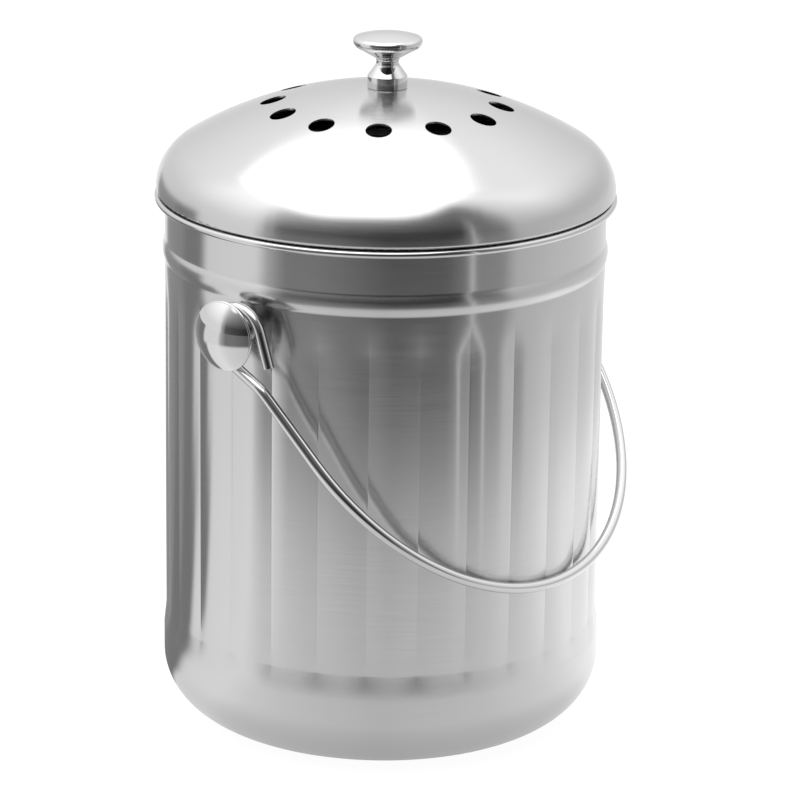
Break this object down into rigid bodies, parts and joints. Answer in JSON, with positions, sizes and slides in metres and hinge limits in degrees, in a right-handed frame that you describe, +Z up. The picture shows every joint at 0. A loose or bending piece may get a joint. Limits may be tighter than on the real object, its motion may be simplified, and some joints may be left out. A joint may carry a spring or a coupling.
{
  "type": "compost caddy",
  "caption": "Stainless steel compost caddy: fluted pail with a rolled rim and ring, lift-off vented dome lid with a knob, filter under the lid and a wire bail on capped studs.",
  "frame": {"origin": "middle of the base, on the surface that the pail stands on", "axes": "+Z up; X along the bail's pivot line, with the near stud in the picture at -X; the bail hangs on the -Y side"},
  "size_m": [0.2084, 0.1835, 0.2788],
  "materials": {
    "pail_steel": "satin brushed stainless steel with a polished rim",
    "lid_steel": "satin brushed stainless steel",
    "knob_chrome": "polished chrome",
    "stud_chrome": "polished chrome",
    "bail_chrome": "polished chrome wire",
    "fastener_steel": "plain stainless",
    "holder_plastic": "moulded black plastic",
    "filter_felt": "carbon-loaded felt"
  },
  "bodies": {
    "pail": {"pail_body": "pail_steel", "left_pivot_stud": "stud_chrome", "right_pivot_stud": "stud_chrome", "left_pivot_screw": "fastener_steel", "right_pivot_screw": "fastener_steel", "left_pivot_washer": "fastener_steel", "right_pivot_washer": "fastener_steel"},
    "bail": {"bail_handle": "bail_chrome"},
    "lid": {"lid_dome": "lid_steel", "lid_skirt": "lid_steel", "lid_knob": "knob_chrome", "knob_screw": "fastener_steel", "knob_washer": "fastener_steel"},
    "filter": {"filter_holder": "holder_plastic", "charcoal_filter": "filter_felt"}
  },
  "joints": [
    {"name": "bail_swing", "type": "hinge", "parent": "pail", "child": "bail", "pos_m": [0, 0, 0.1776], "axis": [-1, 0, 0], "range_deg": [0, 278.7]},
    {"name": "lid_lift", "type": "slide", "parent": "pail", "child": "lid", "axis": [0, 0, 1], "range_m": [0, 0.06]},
    {"name": "filter_drop", "type": "slide", "parent": "lid", "child": "filter", "axis": [0, 0, -1], "range_m": [0, 0.02]}
  ]
}
